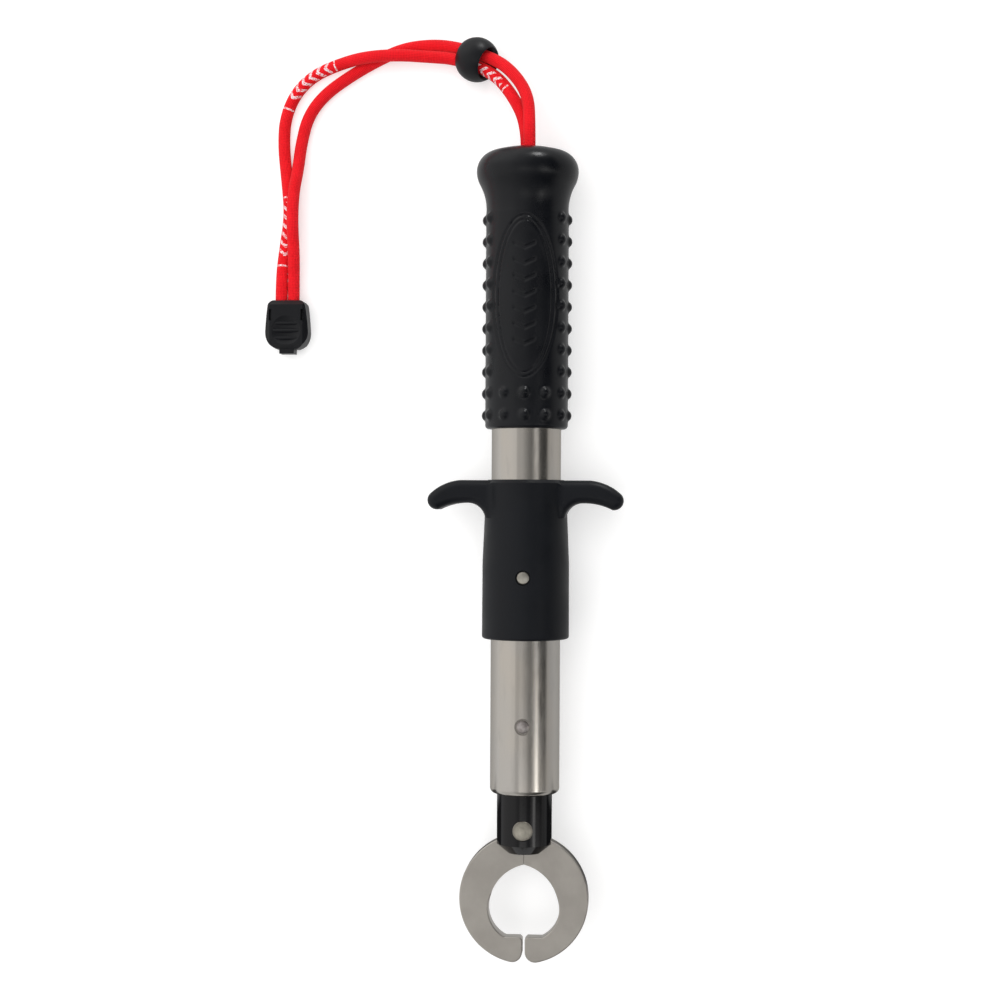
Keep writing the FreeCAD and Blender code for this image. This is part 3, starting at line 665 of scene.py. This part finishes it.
def floor():
    """A pale floor, which looks different in reflections."""
    half = FLOOR_HALF
    corners = [(-half, -half, 0), (half, -half, 0), (half, half, 0), (-half, half, 0)]
    mesh = bpy.data.meshes.new("floor")
    mesh.from_pydata(corners, [], [(0, 1, 2, 3)])
    thing = bpy.data.objects.new("floor", mesh)
    bpy.context.scene.collection.objects.link(thing)
    s = Shader("floor_white")
    cloud = s.noise(60, detail=2)
    pale = s.mix(cloud, rgba(0.60, 0.60, 0.60), rgba(0.62, 0.62, 0.62))
    mirrored = s.add("LightPath").outputs["Is Glossy Ray"]
    color = s.mix(mirrored, pale, rgba(0, 0, 0))
    x, y, _ = s.split(s.place)
    beside = s.spread(s.math("ABSOLUTE", x), *PATCH_WIDE, 1.0, 0.0)
    off = s.math("ABSOLUTE", s.math("SUBTRACT", y, PATCH_Y))
    along = s.spread(off, *PATCH_LONG, PATCH_DARK, 0.0)
    lit = s.math("SUBTRACT", 1.0, s.math("MULTIPLY", beside, along))
    shade = s.spread(x, -MIRRORED_REACH, MIRRORED_REACH, MIRRORED_LEFT, MIRRORED_RIGHT)
    seen = s.math("MULTIPLY", mirrored, s.math("MULTIPLY", shade, lit))
    direct = s.spread(mirrored, 0, 1, FLOOR_GLOW, 0.0)
    s.join(s.math("ADD", seen, direct), s.surface.inputs["Emission Strength"])
    thing.data.materials.append(
        s.finish(color, 0.8, Specular_IOR_Level=0.1, Emission_Color=rgba(1.0, 1.0, 1.0))
    )


# The room's brightness by its angle from overhead towards +X, in degrees. The lists by slope
# scale it by the rise along Y for each metre out from the tool's axis.
ROOM = [
    (-180, 0.70), (-48, 0.73), (-36, 0.69), (-29, 0.56), (-22, 0.46), (-10, 0.47), (-4, 0.38),
    (4, 0.30), (14, 0.20), (24, 0.16), (50, 0.10), (58, 0.05), (75, 0.05), (82, 0.42), (180, 0.42),
]
# A narrow light beside the panels, seen as a stripe down the tube.
STRIP = [(-180, 0), (26, 0), (32, 1), (41, 1), (48, 0), (180, 0)]
STRIP_BY_SLOPE = [
    (-1, 0), (-0.34, 0), (-0.24, 0.3), (-0.118, 0.2), (-0.02, 0.15), (0.012, 1.1), (0.035, 1.1),
    (0.05, 0), (1, 0),
]
# The strip's bright end, which is narrower and further round.
STRIP_END = [(-180, 0), (36, 0), (40.5, 1), (46, 1), (50.5, 0), (180, 0)]
STRIP_END_BY_SLOPE = [
    (-1, 0), (-0.34, 0), (-0.24, 2.1), (-0.15, 2.1), (-0.136, 1.0), (-0.118, 0), (1, 0),
]
# The panel that lights the housing and the jaws, beyond their end of the tool.
PANEL = [
    (-180, 0), (-20, 0), (-13, 0.9), (8, 0.9), (17, 0.25), (26, 0.25),
    (34, 0.85), (60, 0.95), (70, 0.55), (80, 0.3), (86, 0), (180, 0),
]
PANEL_BY_SLOPE = [(-1, 0), (-0.36, 0), (-0.28, 1), (-0.175, 1), (-0.160, 0), (1, 0)]
# The room is dimmer beyond the jaws and brighter beyond the cord.
ROOM_BY_SLOPE = [(-2, 0.8), (-0.7, 0.75), (-0.3, 1.0), (0.25, 1.0), (0.7, 1.5), (2, 1.5)]


def studio():
    """A room of soft panels: bright on the left, dim overhead, a strip and a wall on the right."""
    world = bpy.data.worlds.new("studio")
    bpy.context.scene.world = world
    world.use_nodes = True
    s = Nodes(world.node_tree)
    x, y, z = s.split(s.add("TexCoord").outputs["Generated"])
    angle = s.math("DEGREES", s.math("ARCTAN2", x, z))
    reach = s.math("SQRT", s.math("ADD", s.math("MULTIPLY", x, x), s.math("MULTIPLY", z, z)))
    slope = s.math("DIVIDE", y, s.math("MAXIMUM", reach, 0.01))
    strip = s.math("MULTIPLY", s.ramp(angle, STRIP), s.ramp(slope, STRIP_BY_SLOPE))
    panel = s.math("MULTIPLY", s.ramp(angle, PANEL), s.ramp(slope, PANEL_BY_SLOPE))
    room = s.math("MULTIPLY", s.ramp(angle, ROOM), s.ramp(slope, ROOM_BY_SLOPE))
    end = s.math("MULTIPLY", s.ramp(angle, STRIP_END), s.ramp(slope, STRIP_END_BY_SLOPE))
    level = s.math("ADD", s.math("ADD", room, strip), s.math("ADD", panel, end))
    warm = s.vector("MULTIPLY", level, (1.0, 0.985, 0.965))
    seen = s.add("LightPath").outputs["Is Camera Ray"]
    background = s.add("Background")
    s.join(s.mix(seen, warm, rgba(1.0, 1.0, 1.0)), background.inputs[0])
    s.join(background.outputs[0], s.add("OutputWorld").inputs[0])


def area_light(name, place, target, size, power, mirrored=True):
    """A square soft light. Unless mirrored, it lights things without showing in reflections."""
    data = bpy.data.lights.new(name, "AREA")
    data.shape = "SQUARE"
    data.size = size
    data.energy = power
    light = bpy.data.objects.new(name, data)
    light.location = place
    aim(light, Vector(target), Vector((0, 1, 0.1)).normalized())
    light.visible_glossy = mirrored
    bpy.context.scene.collection.objects.link(light)


def aim(thing, target, up):
    """Point a light or a camera at a place, with its top towards up."""
    back = (thing.location - target).normalized()
    right = up.cross(back).normalized()
    turned = Matrix((right, back.cross(right), back)).transposed().to_4x4()
    thing.matrix_world = Matrix.Translation(thing.location) @ turned


def camera():
    """A camera that looks down on the tool from slightly to its right."""
    data = bpy.data.cameras.new("camera")
    data.lens = CAMERA_LENS
    data.clip_start = 0.01
    thing = bpy.data.objects.new("camera", data)
    tilt = Vector((math.sin(CAMERA_TILT), 0, math.cos(CAMERA_TILT)))
    thing.location = CAMERA_TARGET + tilt * CAMERA_DISTANCE
    up = Vector((-math.sin(CAMERA_ROLL), math.cos(CAMERA_ROLL), 0))
    aim(thing, CAMERA_TARGET, up)
    bpy.context.scene.collection.objects.link(thing)
    bpy.context.scene.camera = thing


floor()
studio()
area_light("overhead", (-0.25, 0.05, 1.6), (0, 0.02, 0), 2.4, 34.0, mirrored=False)
area_light("far_end", (0.40, 1.35, 0.44), (0, 0.08, 0.02), 0.3, 5.0)
camera()
bpy.context.scene.view_settings.view_transform = "Standard"
